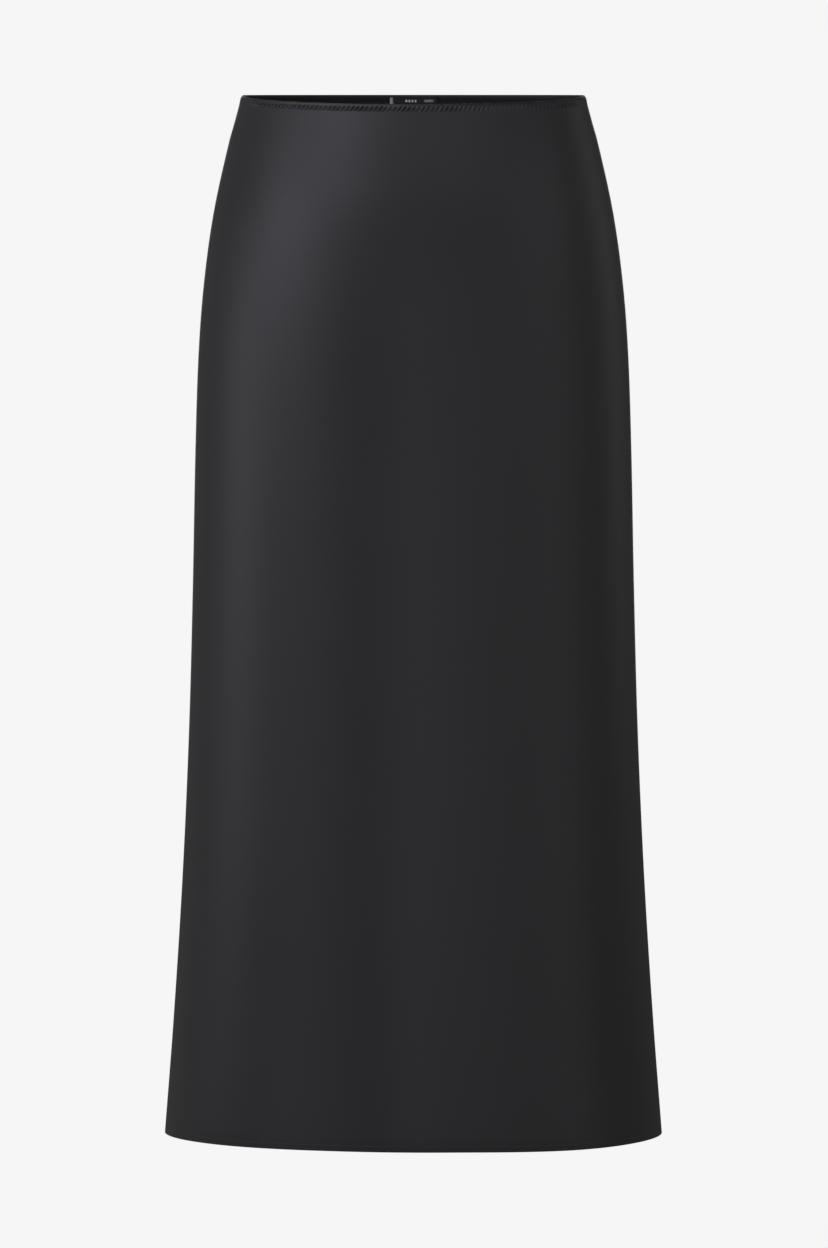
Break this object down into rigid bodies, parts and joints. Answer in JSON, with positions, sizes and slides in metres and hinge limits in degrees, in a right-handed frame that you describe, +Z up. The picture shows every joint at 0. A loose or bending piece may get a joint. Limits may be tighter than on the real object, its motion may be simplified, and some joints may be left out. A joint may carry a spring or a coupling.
{
  "type": "maxi skirt",
  "caption": "Long plain satin skirt with a narrow elastic waist and a slight flare to a narrow hem, filled out as worn and hollow from waist to hem.",
  "frame": {"origin": "middle of the waist opening, at the height of the side seams' top ends, where a waist holds the skirt", "axes": "+Z up through the waist opening, the front panel faces -Y, the side seams lie at +X and -X"},
  "size_m": [0.421, 0.2904, 0.8896],
  "materials": {
    "satin": "soft black satin with a low silky sheen",
    "elastic": "matt black knitted elastic",
    "label": "woven satin label, dark navy, no lettering"
  },
  "bodies": {
    "root": {"front_panel": "satin", "back_panel": "satin", "waist_elastic": "elastic", "woven_label": "label"}
  },
  "joints": []
}
